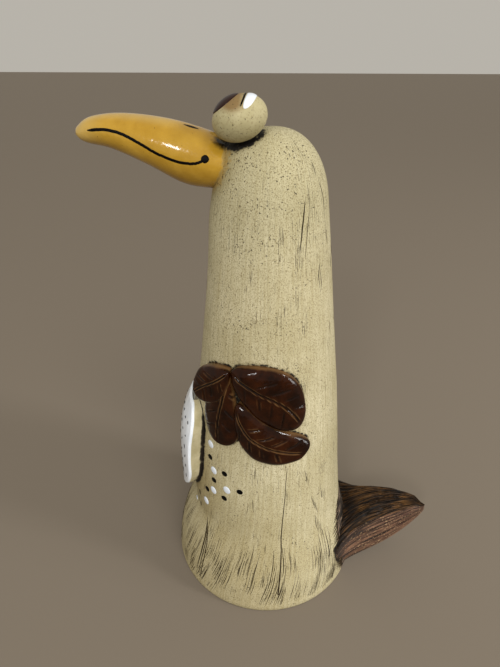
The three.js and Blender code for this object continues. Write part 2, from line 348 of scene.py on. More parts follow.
# Combed slip of the tail: dark iron over clay, black-brown with olive ridges on top where the comb
# has lifted it, reddish brown and dry down the sides
def tailSlip():
    s = Surface("TailSlip", "#3d2a1d", 0.62, specular=0.4, chartAlong=0,
                marks=("groove", "side", "root"), patterns={
                    "streak": ((0.76923, 28.571), 3.0, 0.6), "cloud": (9.0909, 4.0, 0.65),
                    "sand": (1.1111, 2.0, 0.5)})
    at = s.at
    top = s.wash("#33200c", "#69471f", at["cloud"], 0.4, 0.68)
    top = s.wash(top, "#0c0806", at["streak"], 0.47, 0.56)
    side = s.wash("#4c3328", "#7d5c46", at["cloud"], 0.35, 0.65)
    side = s.wash(side, "#1d110d", at["streak"], 0.48, 0.56, 0.95)
    side = s.wash(side, "#a98b68", at["sand"], 0.58, 0.68, 0.8)
    colour = s.tint(top, side, at["side"])
    colour = s.tint(colour, "#0b0807", at["groove"], 0.85)
    colour = s.wash(colour, "#16120f", s.frayed(at["root"], at["streak"], 0.8), 0.45, 0.8, 0.6)
    height = s.raised(at["streak"], -1.0, at["groove"])
    return s.finish(colour, (at["cloud"], 0.3, 0.7, 0.5, 0.72), (height, 1.4, 0.9))


# Tablet: white glaze on its face, smooth and cold, cream slip on its edges, painted shade towards
# the back of its edges, darker towards the bottom
def tabletGlaze():
    s = Surface("TabletGlaze", "#c3c5c4", 0.28, coat=0.35, marks=("edge", "stain"), patterns={
        "cloud": (6.25, 4.0, 0.6), "blot": (3.3333, 3.0, 0.5), "iron": (1.1111, 2.0, 0.4)})
    at = s.at
    white = s.wash("#e2e8ef", "#f2f6fb", at["cloud"], 0.35, 0.7)
    cream = s.wash("#aba07a", "#c6bb98", at["cloud"], 0.35, 0.7)
    cream = s.wash(cream, "#3a301c", at["iron"], 0.72, 0.78, 0.7)
    edge = s.frayed(at["edge"], at["cloud"], 0.8)
    colour = s.wash(white, cream, edge, 0.42, 0.58)
    # Painted shade towards the back of the edges, darker towards the bottom
    colour = s.wash(colour, "#17100a", s.frayed(at["stain"], at["blot"], 0.9), 0.4, 0.75)
    return s.finish(colour, (edge, 0.4, 0.6, 0.22, 0.75), (at["cloud"], 0.6, 0.3))


# The eyes: cream slip with a tan wash behind the pupil and dark oxide with painted shade in the seam below.
# Grit and specks are drawn at 0.8 to 0.9 mm, because finer ones would not show.
def eyeSlip():
    s = Surface("EyeSlip", "#b5ac85", 0.6, specular=0.4, marks=("wash", "seam"), patterns={
        "cloud": (11.111, 4.0, 0.6), "grime": (2.0, 3.0, 0.5), "grit": (0.90909, 2.0, 0.6),
        "iron": (0.8, 0.0, 0.5), "grain": (0.76923, 3.0, 0.5)})
    at = s.at
    colour = s.wash("#a0966f", "#b3a983", at["cloud"], 0.35, 0.68)
    colour = s.wash(colour, "#7a6039", at["wash"], 0.15, 0.75, 0.95)
    colour = s.wash(colour, "#76663c", at["grit"], 0.52, 0.68, 0.45)
    colour = s.wash(colour, "#3a301c", at["iron"], 0.74, 0.8, 0.7)
    # Dark oxide and painted shade in the seam under the eye
    colour = s.oxideAndShadeInSeam(colour, 0.8, 0.5, 0.85, "#0e0b08")
    return s.finish(colour, None, (at["grain"], 0.15, 0.5))


# Glaze laid on in one thickness, or oxide rubbed in: one colour all over
def plainCoat(name, colour, roughness=0.12, specular=0.5):
    return Surface(name, colour, roughness, specular=specular).material


slipMaterial, clayMaterial = creamSlip(), bareClay()
yellowMaterial, brownMaterial = yellowGlaze(), brownGlaze()
tailMaterial, tabletMaterial, eyeMaterial = tailSlip(), tabletGlaze(), eyeSlip()
whiteMaterial = plainCoat("WhiteGlaze", "#d5dbe2")
blackMaterial = plainCoat("BlackGlaze", "#030202", 0.5, 0.12)
pupilMaterial = plainCoat("PupilGlaze", "#26120d", 0.35, 0.25)
oxideMaterial = plainCoat("OxideLines", "#2e2314", 0.85, 0.2)
print("materials done")

# Body: a straight cone with a domed crown on a flared foot
body = {
    "height": 246.8, "waistRadius": 43.3, "waistHeight": 52, "headRadius": 25.2,
    "crownHeight": 29.8, "crownPower": 2.4, "bellyOut": 0.9,
    "flareOut": 5.3, "flareFull": 12, "footRound": 4, "footTuck": 0.9,
    "pinchDepth": 2.6, "pinchHeight": 46, "pinchSpread": 8,
    "throatFullness": 1.6, "throatHeight": 212, "throatSpread": 16,
    "throatGlaze": 9.0, "eyeSeamUnderGlaze": 1.6, "headFrom": 185, "headFull": 225,
    "leafRootAt": (68, 138), "leafRootShade": (3.0, 6.0),
    "tabletShadeAt": (0.55, 68), "tabletShadeSpread": (0.5, 34), "tabletShadeShare": 0.95,
    "footDarkening": 0.68, "footSpread": 62, "footQuietAtTail": (1.5, 2.2, 0.75),
    "sweep": 0.16, "sweepSpread": 40,
    "browFullness": 4.2, "browDrop": 7.8, "browSpread": 9, "frontSpread": 0.75,
    "columns": 384, "flareRows": 62, "coneRows": 132, "crownRows": 46,
}


def coneRadius(z):
    share = (z - body["waistHeight"]) / (body["height"] - body["crownHeight"] - body["waistHeight"])
    return (
        lerp(body["waistRadius"], body["headRadius"], share)
        + body["bellyOut"] * np.sin(np.pi * np.clip(share, 0, 1))
    )


def turnedRadius(z):
    crownShare = np.clip((z - body["height"] + body["crownHeight"]) / body["crownHeight"], 0, 1)
    crown = (1 - crownShare ** body["crownPower"]) ** (1 / body["crownPower"])
    flare = body["flareOut"] * (1 - smoothstep(body["flareFull"], body["waistHeight"] - 2, z))
    tuck = body["footTuck"] * np.maximum(0, 1 - z / body["footRound"]) ** 2
    return (coneRadius(z) + flare) * crown - tuck


def bodyRadius(angle, z):
    front = bell(angle, body["frontSpread"])
    throat = body["throatFullness"] * bell(z - body["throatHeight"], body["throatSpread"])
    brow = body["browFullness"] * bell(z - body["height"] + body["browDrop"], body["browSpread"])
    pinch = body["pinchDepth"] * bell(z - body["pinchHeight"], body["pinchSpread"])
    return turnedRadius(z) + front * (throat + brow - pinch)


# A point at an angle from the front, positive towards the bird's left
def around(angle, z, radius):
    angle, z, radius = np.broadcast_arrays(angle, z, radius)
    return np.stack([radius * np.sin(angle), -radius * np.cos(angle), z], -1)


# Marks of the brush and comb in the clay, always inwards
def relief(angle, z):
    turn = angle / (2 * np.pi)
    uneven = 0.22 * (ripple(turn * 16, z / 24, 11, 16) - 1)
    sweep = turn + 0.012 * bell(z, 40)
    comb = np.maximum(0, ripple(sweep * 240, z / 26, 12, 240)) * 0.16
    return uneven - comb * (0.35 + bell(z, 55))


# Beak: long and heavy, its underside sweeping up to a blunt tip
beak = {
    "length": 58.5, "depth": 25, "width": 28, "root": 25, "drop": 14,
    "top": [
        (-0.26, 0.2), (0, 0.47), (0.31, 0.665), (0.64, 0.745), (0.87, 0.69), (0.975, 0.55), (1, 0.44),
    ],
    "low": [
        (-0.26, -0.45), (0.05, -0.43), (0.23, -0.35), (0.46, -0.08), (0.72, 0.176), (0.92, 0.276),
        (0.995, 0.384),
    ],
    "half": [0.4, 0.46, 0.46, 0.38, 0.27, 0.17, 0.05], "rings": 150, "sides": 120,
}


def beakEdge(shares):
    curve = splineThrough(shares, beak["rings"])
    y = -beak["root"] - curve[:, 0] * beak["length"]
    return np.stack([y, body["height"] - beak["drop"] + curve[:, 1] * beak["depth"]], -1)


def beakPiece():
    top, low = beakEdge(beak["top"])[:, None], beakEdge(beak["low"])[:, None]
    half = splineThrough([(share * beak["width"],) for share in beak["half"]], beak["rings"])
    turn = np.linspace(0, 2 * np.pi, beak["sides"], endpoint=False)[None, :]
    rise = (0.5 + 0.5 * np.sin(turn))[..., None]
    edge = low + (top - low) * rise
    rings = np.stack([half * np.cos(turn), edge[..., 0], edge[..., 1]], -1)
    points, faces = closedLoft(rings)
    along = (-beak["root"] - points[:, 1]) / beak["length"]
    side = np.abs(np.concatenate([np.tile(np.sin(turn[0]), beak["rings"]), [0, 0]]))
    pale = smoothstep(0.72, 1.0, along) + 0.7 * smoothstep(0.75, 1.0, side) * smoothstep(0.1, 0.4, along)
    return points, faces, {"pale": np.clip(pale, 0, 1)}


# Eyes: two flattened balls pressed on the crown, the right one a little further forward and deeper
eyes = {
    "half": (10.3, 11.1, 8.5), "tilt": 0.36, "forward": 12.4, "aside": 11.4, "rise": 4.4,
    "rightForward": 2.6, "rightSink": 2.6, "columns": 120, "rows": 72,
}
eyeTurn = np.array(Matrix.Rotation(eyes["tilt"], 3, "X"))


def eyeCentre(side):
    right = 1 if side < 0 else 0
    return np.array([side * eyes["aside"], -eyes["forward"] - right * eyes["rightForward"],
                     body["height"] + eyes["rise"] - right * eyes["rightSink"]])


def eyePoints(side, directions, out=0.0):
    # Points on the ball in the given directions from its centre, raised by `out`
    local = directions @ eyeTurn
    reach = 1 / np.linalg.norm(local / eyes["half"], axis=-1, keepdims=True)
    return eyeCentre(side) + directions * (reach + np.asarray(out)[..., None])


def eyePiece(side):
    lon = np.linspace(0, 2 * np.pi, eyes["columns"], endpoint=False)[None, :]
    lat = np.linspace(-np.pi / 2, np.pi / 2, eyes["rows"] + 2)[1:-1, None]
    directions = np.stack([
        np.cos(lat) * np.cos(lon), np.cos(lat) * np.sin(lon), np.sin(lat) + 0 * lon,
    ], -1)
    directions /= np.linalg.norm(directions, axis=-1, keepdims=True)
    points, faces = closedLoft(eyePoints(side, directions))
    offset = points - eyeCentre(side)
    wash = bell(offset[:, 1] + 2.5, 5.0) * smoothstep(1.0, 6.0, offset[:, 2])
    return points, faces, {"wash": wash}


# Feathers: four leaves on each side, degrees from the front and heights above the floor
leaves = [
    {
        "root": (64, 147), "tip": (36, 129), "half": 8.9, "bow": 0.4, "widest": 0.6, "blunt": 0.5,
        "lift": (1.2, 4), "veins": 3, "tone": 0.12, "rib": 0.0, "swing": 0.04,
    },
    {
        "root": (63.5, 145), "tip": (58, 105), "half": 10.8, "bow": 3, "widest": 0.7, "blunt": 0.46,
        "lift": (0.6, 0), "veins": 3, "tone": 0.05, "rib": 0.16, "swing": 0.04,
    },
    {
        "root": (66, 148.5), "tip": (117.5, 119.5), "half": 13.2, "bow": 3.8, "widest": 0.53,
        "blunt": 0.55, "lift": (0.8, 0), "veins": 4, "tone": 0.0, "rib": 0.0, "swing": 0.1,
    },
    {
        "root": (70, 130.5), "tip": (122.2, 104), "half": 10.6, "bow": -7.2, "widest": 0.62,
        "blunt": 0.35, "lift": (0, 0), "veins": 4, "tone": 0.16, "rib": 0.0, "swing": 0.1,
    },
]
leafForm = {
    "thickness": 4.2, "rings": 132, "across": 64, "cutDepth": 0.85, "cutWidth": 0.36, "skirt": 2.0,
}


def leafPiece(leaf, side):
    radius = coneRadius((leaf["root"][1] + leaf["tip"][1]) / 2)
    run = math.radians(leaf["tip"][0] - leaf["root"][0]) * radius
    rise = leaf["tip"][1] - leaf["root"][1]
    length = math.hypot(run, rise)
    across = np.array([-rise / length, run / length])
    across = -across if across[1] < 0 else across
    share = lerp(0.006, 0.994, np.linspace(0, 1, leafForm["rings"]))[:, None]
    power = math.log(0.5) / math.log(leaf["widest"])
    outline = np.sin(np.pi * share ** power) ** leaf["blunt"]
    half = leaf["half"] * outline
    turn = np.linspace(0, np.pi, leafForm["across"])[None, :]
    cross = np.cos(turn)
    bow = leaf["bow"] * np.sin(np.pi * share)
    aside = half * cross + bow
    angle = math.radians(leaf["root"][0]) + (share * run + aside * across[0]) / radius
    z = leaf["root"][1] + share * rise + aside * across[1]
    lift = lerp(leaf["lift"][0], leaf["lift"][1], share)
    thickness = leafForm["thickness"] * np.minimum(1, 0.45 + outline)
    # Midrib and side veins, as distances along and across the leaf
    straight = share * length + 0 * cross
    sideways = (
        half * cross
        + leaf["half"] * (leaf["swing"] * np.sin(2 * np.pi * share) + leaf["rib"] * np.sin(np.pi * share))
    )
    inside = smoothstep(0.04, 0.12, share) * (1 - smoothstep(0.86, 0.95, share))
    fine = leaf["half"] / 13
    groove = bell(sideways, fine * leafForm["cutWidth"]) * inside
    ridge = bell(np.abs(sideways) - 0.8 * fine, 0.36 * fine) * inside
    for k in range(leaf["veins"]):
        for way in (-1, 1):
            start = length * lerp(0.2, 0.8, (k + 0.35 * (way > 0)) / leaf["veins"])
            reach = 0.56 * leaf["half"]
            out = way * sideways
            slope = 0.75 + 0.1 * (k % 2)
            off = np.abs(straight - start - out * slope) / math.hypot(1, slope)
            span = (
                smoothstep(0.12 * leaf["half"], 0.24 * leaf["half"], out)
                * (1 - smoothstep(reach, reach * 1.18, out))
            )
            groove = np.maximum(
                groove, (0.8 if k % 2 else 0.55) * bell(off, 0.85 * leafForm["cutWidth"]) * span
            )
            ridge = np.maximum(ridge, 0.45 * bell(off - 0.75, 0.36) * span)
    dome = np.sin(turn) ** 0.7
    wavy = 0.25 * ripple(straight / 5 + 3, sideways / 4 + 40, 21 + leaf["veins"])
    out = (
        lift + thickness * dome
        + (wavy + 0.22 * ridge - leafForm["cutDepth"] * groove) * smoothstep(0.0, 0.5, dome)
    )
    upper = around(side * angle, z, bodyRadius(side * angle, z) + out)
    under = around(side * angle, z, bodyRadius(side * angle, z) - leafForm["skirt"])
    rings = np.concatenate([under[:, :1], upper, under[:, -1:]], 1)
    points, faces = closedLoft(rings)
    pad = lambda value: np.concatenate([
        np.pad(value + 0 * dome, ((0, 0), (1, 1)), mode="edge").ravel(), [value.mean()] * 2,
    ])
    rim = 1 - smoothstep(0.1, 0.8, dome) + 0 * share
    tip = smoothstep(0.9, 1.0, share) + 0 * dome
    thin = np.clip(0.85 * rim + 0.8 * ridge + 0.4 * tip + leaf["tone"], 0, 1)
    return points, faces, {"thin": pad(thin), "cut": pad(np.clip(groove * 1.1, 0, 1))}


# Tablet: a curved slab held against the chest
tablet = {
    "bottom": 57, "top": 115, "radius": 48.6, "thickness": 6.3, "halfAngle": 0.62, "lowCorner": 22,
    "topCorner": 14, "bend": 75, "lean": 7.2, "round": 1.3, "rows": 120, "across": 90, "deep": 14,
}


def tabletFront(z):
    bend = np.maximum(0, (z - tablet["bend"]) / (tablet["top"] - tablet["bend"]))
    return tablet["radius"] - tablet["lean"] * bend ** 3


def tabletHalf(z):
    corner = np.where(
        z < (tablet["bottom"] + tablet["top"]) / 2, tablet["lowCorner"], tablet["topCorner"]
    )
    inset = np.maximum(0, np.maximum(tablet["bottom"] + corner - z, z - tablet["top"] + corner))
    drawn = corner - np.sqrt(np.maximum(0, corner ** 2 - inset ** 2))
    return tablet["halfAngle"] - drawn / tablet["radius"]


def tabletPiece():
    turn = lerp(0.02, 1, np.linspace(0, 1, tablet["rows"])) * np.pi
    turn[-1] = np.pi - 0.02 * np.pi
    z = lerp(tablet["bottom"], tablet["top"], 0.5 - 0.5 * np.cos(turn))[:, None]
    half = tabletHalf(z)
    across = np.linspace(-1, 1, tablet["across"])[None, :]
    across = np.sign(across) * (1 - (1 - np.abs(across)) ** 1.5)
    angle = half * across
    gap = np.minimum(
        tablet["radius"] * half * (1 - np.abs(across)),
        np.minimum(z - tablet["bottom"], tablet["top"] - z),
    )
    edge = tablet["round"] * (1 - halfRound(1 - np.clip(gap / tablet["round"], 0, 1)))
    bumps = 0.12 * ripple(angle * 12 + 20, z / 5, 31)
    face = around(angle, z, tabletFront(z) - edge + bumps * (gap > 1.5))
    back = np.minimum(tabletFront(z) - tablet["thickness"], bodyRadius(angle, z)) - 3
    steps = np.linspace(0, 1, tablet["deep"])[1:, None]
    sides = []
    for k in (0, -1):
        start, end = (tabletFront(z) - tablet["round"])[:, 0], back[:, k]
        depth = start[None] + (end - start)[None] * steps
        sides.append(around(angle[:, k][None], z[:, 0][None], depth).transpose(1, 0, 2))
    rings = np.concatenate([sides[0][:, ::-1], face, sides[1]], 1)
    points, faces = closedLoft(rings)
    deep, rows = tablet["deep"] - 1, tablet["rows"]
    edgeMark = np.concatenate([
        np.ones((rows, deep)), np.zeros((rows, tablet["across"])), np.ones((rows, deep)),
    ], 1)
    edgeMark[:, [deep, -deep - 1]] = 0.5
    sunk = np.concatenate([
        np.tile(steps[::-1, 0], (rows, 1)), np.zeros((rows, tablet["across"])),
        np.tile(steps[:, 0], (rows, 1)),
    ], 1)
    low = 1 - smoothstep(tablet["bottom"] + 6, tablet["bottom"] + 22, z)
    # Painted shade towards the back of the edges, darker and further forward towards the bottom
    stain = smoothstep(0.42, 0.6, sunk) * (0.85 + 0.6 * low) + 0.75 * low * smoothstep(0.08, 0.4, sunk)
    pad = lambda value: np.concatenate([value.ravel(), [1, 1]])
    return points, faces, {"edge": pad(edgeMark), "stain": pad(np.clip(stain, 0, 1))}


# Tail: a wedge, combed lengthwise, widening where it joins the foot
tail = {
    "start": 44, "reach": 53, "half": 16.5, "flare": 11.5, "flareLength": 10, "topRoot": 23,
    "topTip": 37.5, "lowRoot": 2.2, "lowTip": 30, "lowPower": 2.4, "crownRoot": 3.5, "crownHump": 9.6,
    "undercut": 0.9, "rings": 150, "topSteps": 150, "sideSteps": 46, "combs": 20,
}


def tailPiece():
    share = lerp(-0.3, 0.996, np.sin(np.linspace(0, 1, tail["rings"]) * np.pi / 2))[:, None]
    along, place = np.maximum(0, share), tail["start"] + share * tail["reach"]
    flare = tail["flare"] * np.exp(-along * tail["reach"] / tail["flareLength"])
    half = tail["half"] * (1 - along) ** 0.75 + flare
    edge = lerp(tail["topRoot"], tail["topTip"], along ** 0.6)
    low = lerp(tail["lowRoot"], tail["lowTip"], along ** tail["lowPower"])
    crown = tail["crownRoot"] * (1 - along) + tail["crownHump"] * np.sin(np.pi * along)
    top = lerp(edge, (edge + low) / 2 + 0.6, smoothstep(0.86, 1.02, along))
    # Round the section: over the top from one edge to the other, then down one side, below and up again
    cross = np.linspace(-1, 1, tail["topSteps"])[None, :]
    size = np.clip(half / 6, 0.1, 1)
    wander = cross * tail["combs"] + 0.8 * ripple(cross * 6 + 9, along * 6, 41)
    comb = np.abs(ripple(wander + 30, along * 5, 42)) ** 0.6
    over = np.stack([
        cross * half, place + 0 * cross,
        top + crown * (1 - np.abs(cross) ** 2.4) - 0.9 * (1 - comb) * size * (1 - np.abs(cross) ** 6),
    ], -1)
    down = np.linspace(0, 1, tail["sideSteps"])[None, 1:]
    lines = np.abs(ripple(down * 9 + 60, along * 1.2 + 2, 43)) ** 0.6
    inward = 0.7 * (1 - lines) * size * np.sin(np.pi * down) ** 0.5
    width = half * lerp(1, tail["undercut"], down) + 0.06 * half * np.sin(np.pi * down) - inward
    height = lerp(top, low, down)
    right = np.stack([width, place + 0 * down, height], -1)
    left = np.stack([-width, place + 0 * down, height], -1)[:, ::-1]
    under = np.linspace(1, -1, 14)[None, 1:-1]
    below = np.stack([
        under * half * tail["undercut"], place + 0 * under, low - 0.6 * (1 - under ** 2),
    ], -1)
    points, faces = closedLoft(np.concatenate([over, right, below, left], 1))
    mark = lambda topValue, sideValue: np.concatenate([
        topValue, sideValue, sideValue[:, -1:] + 0 * under, sideValue[:, ::-1],
    ], 1)
    zeroTop, zeroSide = 0 * (cross + along), 0 * (down + along)
    groove = mark(
        (1 - comb) * smoothstep(0.35, 0.75, 1 - comb) + zeroTop,
        0.9 * (1 - lines) * smoothstep(0.45, 0.8, 1 - lines) + zeroSide,
    )
    side = mark(zeroTop + smoothstep(0.93, 1.0, np.abs(cross)), zeroSide + 1)
    root = mark(
        np.exp(-along * tail["reach"] / 7) + zeroTop, np.exp(-along * tail["reach"] / 9) + zeroSide
    )
    chart = mark(cross * 16 + zeroTop, 16 + down * 14 + zeroSide)
    distance = mark(along * tail["reach"] + zeroTop, along * tail["reach"] + zeroSide)
    flat = lambda value: np.concatenate([value.ravel(), [0, 0]])
    chartVector = np.stack([flat(distance), flat(chart), flat(0 * chart)], -1)
    return (
        points, faces,
        {"groove": flat(groove), "side": flat(side), "root": flat(root), "chart": chartVector},
    )


made = {}


def build(name, shape, material):
    points, faces, values = shape
    made[name] = makeMesh(name, points, faces, material, values)
    return made[name]


build("beak", beakPiece(), yellowMaterial)
for side, label in ((1, "left"), (-1, "right")):
    build("eye_" + label, eyePiece(side), eyeMaterial)
    for number, leaf in enumerate(leaves, 1):
        build(f"feather_{label}_{number}", leafPiece(leaf, side), brownMaterial)
build("tablet", tabletPiece(), tabletMaterial)
build("tail", tailPiece(), tailMaterial)
print("beak, eyes, feathers, tablet and tail done")


# The tail's dark root on the body is an arch, in degrees round the body and mm up
tailArch = {"straightTo": 22, "rise": 26, "half": 28, "none": 184}


def tailBorder(z):
    # Degrees from the front where the dark root begins
    arch = 1 - np.clip((z - tailArch["straightTo"]) / tailArch["rise"], 0, 2) ** 2
    return np.where(arch > 0, 180 - tailArch["half"] * np.sqrt(np.maximum(arch, 0)), tailArch["none"])


def bodyPiece():
    crownStart = body["height"] - body["crownHeight"]
    flareRows = lerp(0, body["waistHeight"], np.linspace(0, 1, body["flareRows"]))
    coneRows = lerp(body["waistHeight"], crownStart, np.linspace(0, 1, body["coneRows"])[1:])
    crownRows = (
        crownStart + body["crownHeight"] * np.sin(np.linspace(0, np.pi / 2, body["crownRows"])[1:-1])
    )
    z = np.concatenate([flareRows, coneRows, crownRows])[:, None]
    angle = np.linspace(-np.pi, np.pi, body["columns"], endpoint=False)[None, :]
    fade = smoothstep(0, 6, z) * (1 - smoothstep(crownStart + 10, body["height"], z))
    radius = bodyRadius(angle, z) + relief(angle, z) * fade
    rings = around(angle, z, radius)
    rows, columns = rings.shape[:2]
    points = np.concatenate([rings.reshape(-1, 3), [[0, 0, body["height"]], [0, 0, 0]]])
    faces = gridFaces(rows, columns, closed=True)
    faces += loopCap((rows - 1) * columns, columns, rows * columns)
    under = loopCap(0, columns, rows * columns + 1, flip=True)
    # Chart for the brush marks: they run up the body and sweep outwards over the foot
    turned = angle + body["sweep"] * bell(z, body["sweepSpread"]) + 0 * z
    chart = around(turned, z, body["waistRadius"] - 0.3).reshape(-1, 3)
    chart = np.concatenate([chart, [[0, 0, body["height"]], [0, 0, 0]]])
    flat = lambda value: np.concatenate([(value + 0 * angle).ravel(), [0, 0]])
    turn = np.abs(angle)
    # Painted shade beside and below the tablet, in front of the leaves; also darker low on the foot, less
    # so near the tail
    tabletShade = body["tabletShadeShare"] * bell(turn - body["tabletShadeAt"][0], body["tabletShadeSpread"][0]) \
        * bell(z - body["tabletShadeAt"][1], body["tabletShadeSpread"][1])
    quietFrom, quietTo, quiet = body["footQuietAtTail"]
    foot = (
        body["footDarkening"] * bell(z, body["footSpread"])
        * (1 - quiet * smoothstep(quietFrom, quietTo, turn))
    )
    values = {
        "chart": chart,
        "combed": flat(np.maximum(foot, tabletShade)),
        "head": flat(smoothstep(body["headFrom"], body["headFull"], z)),
        "tailRoot": flat(smoothstep(-0.05, 0.05, turn - np.radians(tailBorder(z)))),
    }
    return points, faces, under, values


points, faces, under, values = bodyPiece()
seam = np.zeros(len(points))
fromBeak = nearness(points, treeOf(made["beak"]), body["throatGlaze"] + 1)
throat = 1 - smoothstep(0.0, body["throatGlaze"], fromBeak)
# Oxide and painted shade in the seams: full up to the first distance from the piece, gone at the second
seams = {"eye": (1.3, 3.6), "fea": (0.0, 1.35), "tai": (0.2, 2.0), "tab": (0.6, 2.4), "bea": (-2, 0.1)}
for name, piece in made.items():
    corners = np.array([v.co for v in piece.data.vertices]) / metre
    low, high = corners.min(0) - 4, corners.max(0) + 4
    near = np.flatnonzero(np.all((points > low) & (points < high), 1))
    full, gone = seams[name[:3]]
    gap = nearness(points[near], treeOf(piece), 8.0)
    gap = gap - body["eyeSeamUnderGlaze"] * throat[near] if name[:3] == "eye" else gap
    seam[near] = np.maximum(seam[near], 1 - smoothstep(full, gone, gap))
# Painted shade and dark oxide where the leaves of a wing meet
turn = np.abs(np.arctan2(points[:, 0], -points[:, 1]))
degrees, height = body["leafRootAt"]
fromRoots = np.hypot((turn - math.radians(degrees)) * 41, 0.5 * (points[:, 2] - height))
values["seam"] = np.maximum(seam, 1 - smoothstep(*body["leafRootShade"], fromRoots))
values["throat"] = throat
bird = makeMesh("body", points, faces + under, slipMaterial, values)
bird.data.materials.append(clayMaterial)
for polygon in bird.data.polygons[len(faces):]:
    polygon.material_index = 1
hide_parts("bird_figurine")
bodyTree = treeOf(bird)
print("body done")

# Seam marks on the fitted pieces: oxide with painted shade, and the beak's bare root
for name in ("eye_left", "eye_right", "beak"):
    piece = made[name]
    corners = np.array([v.co for v in piece.data.vertices]) / metre
    if name == "beak":
        gap = nearness(corners, treeOf(made["eye_left"], made["eye_right"]), 8.0)
        reach = 1 - smoothstep(2.6, 7.0, gap)
        carry(piece.data, {"bare": 1 - smoothstep(0.0, 2.6, nearness(corners, bodyTree, 5.0))})
    else:
        fromBeak = nearness(corners, treeOf(made["beak"]), 5.0)
        gap = np.minimum(nearness(corners, bodyTree, 5.0), fromBeak - 1)
        reach = 1 - smoothstep(0.5, 3.0, gap)
    carry(piece.data, {"seam": reach})


# Painted lines and blobs of glaze, laid on a surface
def onSurface(tree, origin, direction):
    hit = tree.ray_cast(Vector(origin), Vector(direction).normalized())
    return None if hit[0] is None else (np.array(hit[0]), np.array(hit[1]))


def strip(name, tree, rays, widths, height, material, across=9):
    # A raised line of glaze through the points where the rays meet the surface
    hits = [onSurface(tree, *ray) for ray in rays]
    kept = [i for i, hit in enumerate(hits) if hit is not None]
    if len(kept) < 3:
        print("no surface under", name)
        return None
    centre = np.array([hits[i][0] for i in kept])
    normal = np.array([hits[i][1] for i in kept])
    widths = np.asarray(widths, float)[kept]
    forward = np.gradient(centre, axis=0)
    beside = np.cross(normal, forward)
    beside /= np.linalg.norm(beside, axis=1, keepdims=True)
    steps = np.linspace(-1, 1, across)
    dome = halfRound(steps)
    rings = centre[:, None] + beside[:, None] * (steps[None, :, None] * widths[:, None, None]) \
        + normal[:, None] * (dome[None, :, None] * height - 0.12)
    floor = centre[:, None] - normal[:, None] * 0.35 + 0 * rings[:, :1]
    return loftMesh(name, np.concatenate([rings, floor], 1), material)


# Node trees for what repeats over a surface. A socket's name starts its own input.
class GeometryTree(NodeTree):
    def __init__(self, name, sizes):
        self.tree = bpy.data.node_groups.new(name, "GeometryNodeTree")
        face = self.tree.interface
        face.new_socket("Geometry", in_out="OUTPUT", socket_type="NodeSocketGeometry")
        self.identifiers = {}
        for label, kind in [("Geometry", "Geometry")] + sizes + [("Glaze", "Material")]:
            socket = face.new_socket(label, in_out="INPUT", socket_type="NodeSocket" + kind)
            self.identifiers[label] = socket.identifier
        self.inputs = self.tree.nodes.new("NodeGroupInput").outputs

    def close(self, geometry):
        real = self.add("GeometryNodeRealizeInstances", {"Geometry": geometry})
        smooth = self.add("GeometryNodeSetShadeSmooth", {"Geometry": real})
        glazed = self.add("GeometryNodeSetMaterial", {"Geometry": smooth, "Material": self.inputs["Glaze"]})
        self.tree.links.new(glazed, self.tree.nodes.new("NodeGroupOutput").inputs[0])
        return self


def dropTree():
    # A ball of glaze on every point, turned and sized by the point's own values
    t = GeometryTree("DropsOfGlaze", [("Drop Sides", "Int"), ("Drop Rings", "Int")])
    turn, size = (
        t.add("GeometryNodeInputNamedAttribute", {"Name": name}, "Attribute", data_type="FLOAT_VECTOR")
        for name in ("turn", "size")
    )
    ball = t.add("GeometryNodeMeshUVSphere", {
        "Segments": t.inputs["Drop Sides"], "Rings": t.inputs["Drop Rings"], "Radius": 1.0}, "Mesh")
    return t.close(t.add("GeometryNodeInstanceOnPoints", {
        "Points": t.inputs["Geometry"], "Instance": ball, "Scale": size,
        "Rotation": t.add("FunctionNodeEulerToRotation", {"Euler": turn})}))


def hairTree():
    # A thin round line of oxide along every chain of edges, as thick as its points say
    t = GeometryTree("Hairlines", [("Line Sides", "Int"), ("Thickness", "Float")])
    own = t.add("GeometryNodeInputNamedAttribute", {"Name": "half"}, "Attribute", data_type="FLOAT")
    half = t.add("ShaderNodeMath", {0: own, 1: t.inputs["Thickness"]}, operation="MULTIPLY")
    curve = t.add("GeometryNodeMeshToCurve", {"Mesh": t.inputs["Geometry"]})
    profile = t.add("GeometryNodeCurvePrimitiveCircle", {
        "Resolution": t.inputs["Line Sides"], "Radius": 1.0,
    })
    return t.close(t.add("GeometryNodeCurveToMesh", {
        "Curve": curve, "Profile Curve": profile, "Scale": half, "Fill Caps": True}))


def grown(name, tree, points, edges, values, sizes, material):
    # The tree's result over the points, turned into a plain mesh that rides on the bird
    mesh = bpy.data.meshes.new(name)
    mesh.from_pydata((np.asarray(points) * metre).tolist(), edges, [])
    for key, value in values.items():
        carry(mesh, {key: np.asarray(value) * (1 if key == "turn" else metre)})
    piece = placed(name, mesh)
    modifier = piece.modifiers.new("nodes", "NODES")
    modifier.node_group = tree.tree
    for label, value in {**sizes, "Glaze": material}.items():
        modifier[tree.identifiers[label]] = value
    graph = bpy.context.evaluated_depsgraph_get()
    result = bpy.data.meshes.new_from_object(
        piece.evaluated_get(graph), preserve_all_data_layers=True, depsgraph=graph
    )
    piece.modifiers.remove(modifier)
    piece.data = result
    for key in values:
        if key in result.attributes:
            result.attributes.remove(result.attributes[key])
    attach(piece, "root")
    return piece


drops, hairs = dropTree(), hairTree()


def facingOut(angle, lean=0.0):
    # Turn that sets a drop's third axis along the radius at this angle and leans it about that axis
    out = Vector((math.sin(angle), -math.cos(angle), 0))
    beside = Vector((math.cos(angle), math.sin(angle), 0))
    basis = Matrix((beside, out.cross(beside), out)).transposed() @ Matrix.Rotation(lean, 3, "Z")
    return list(basis.to_euler())


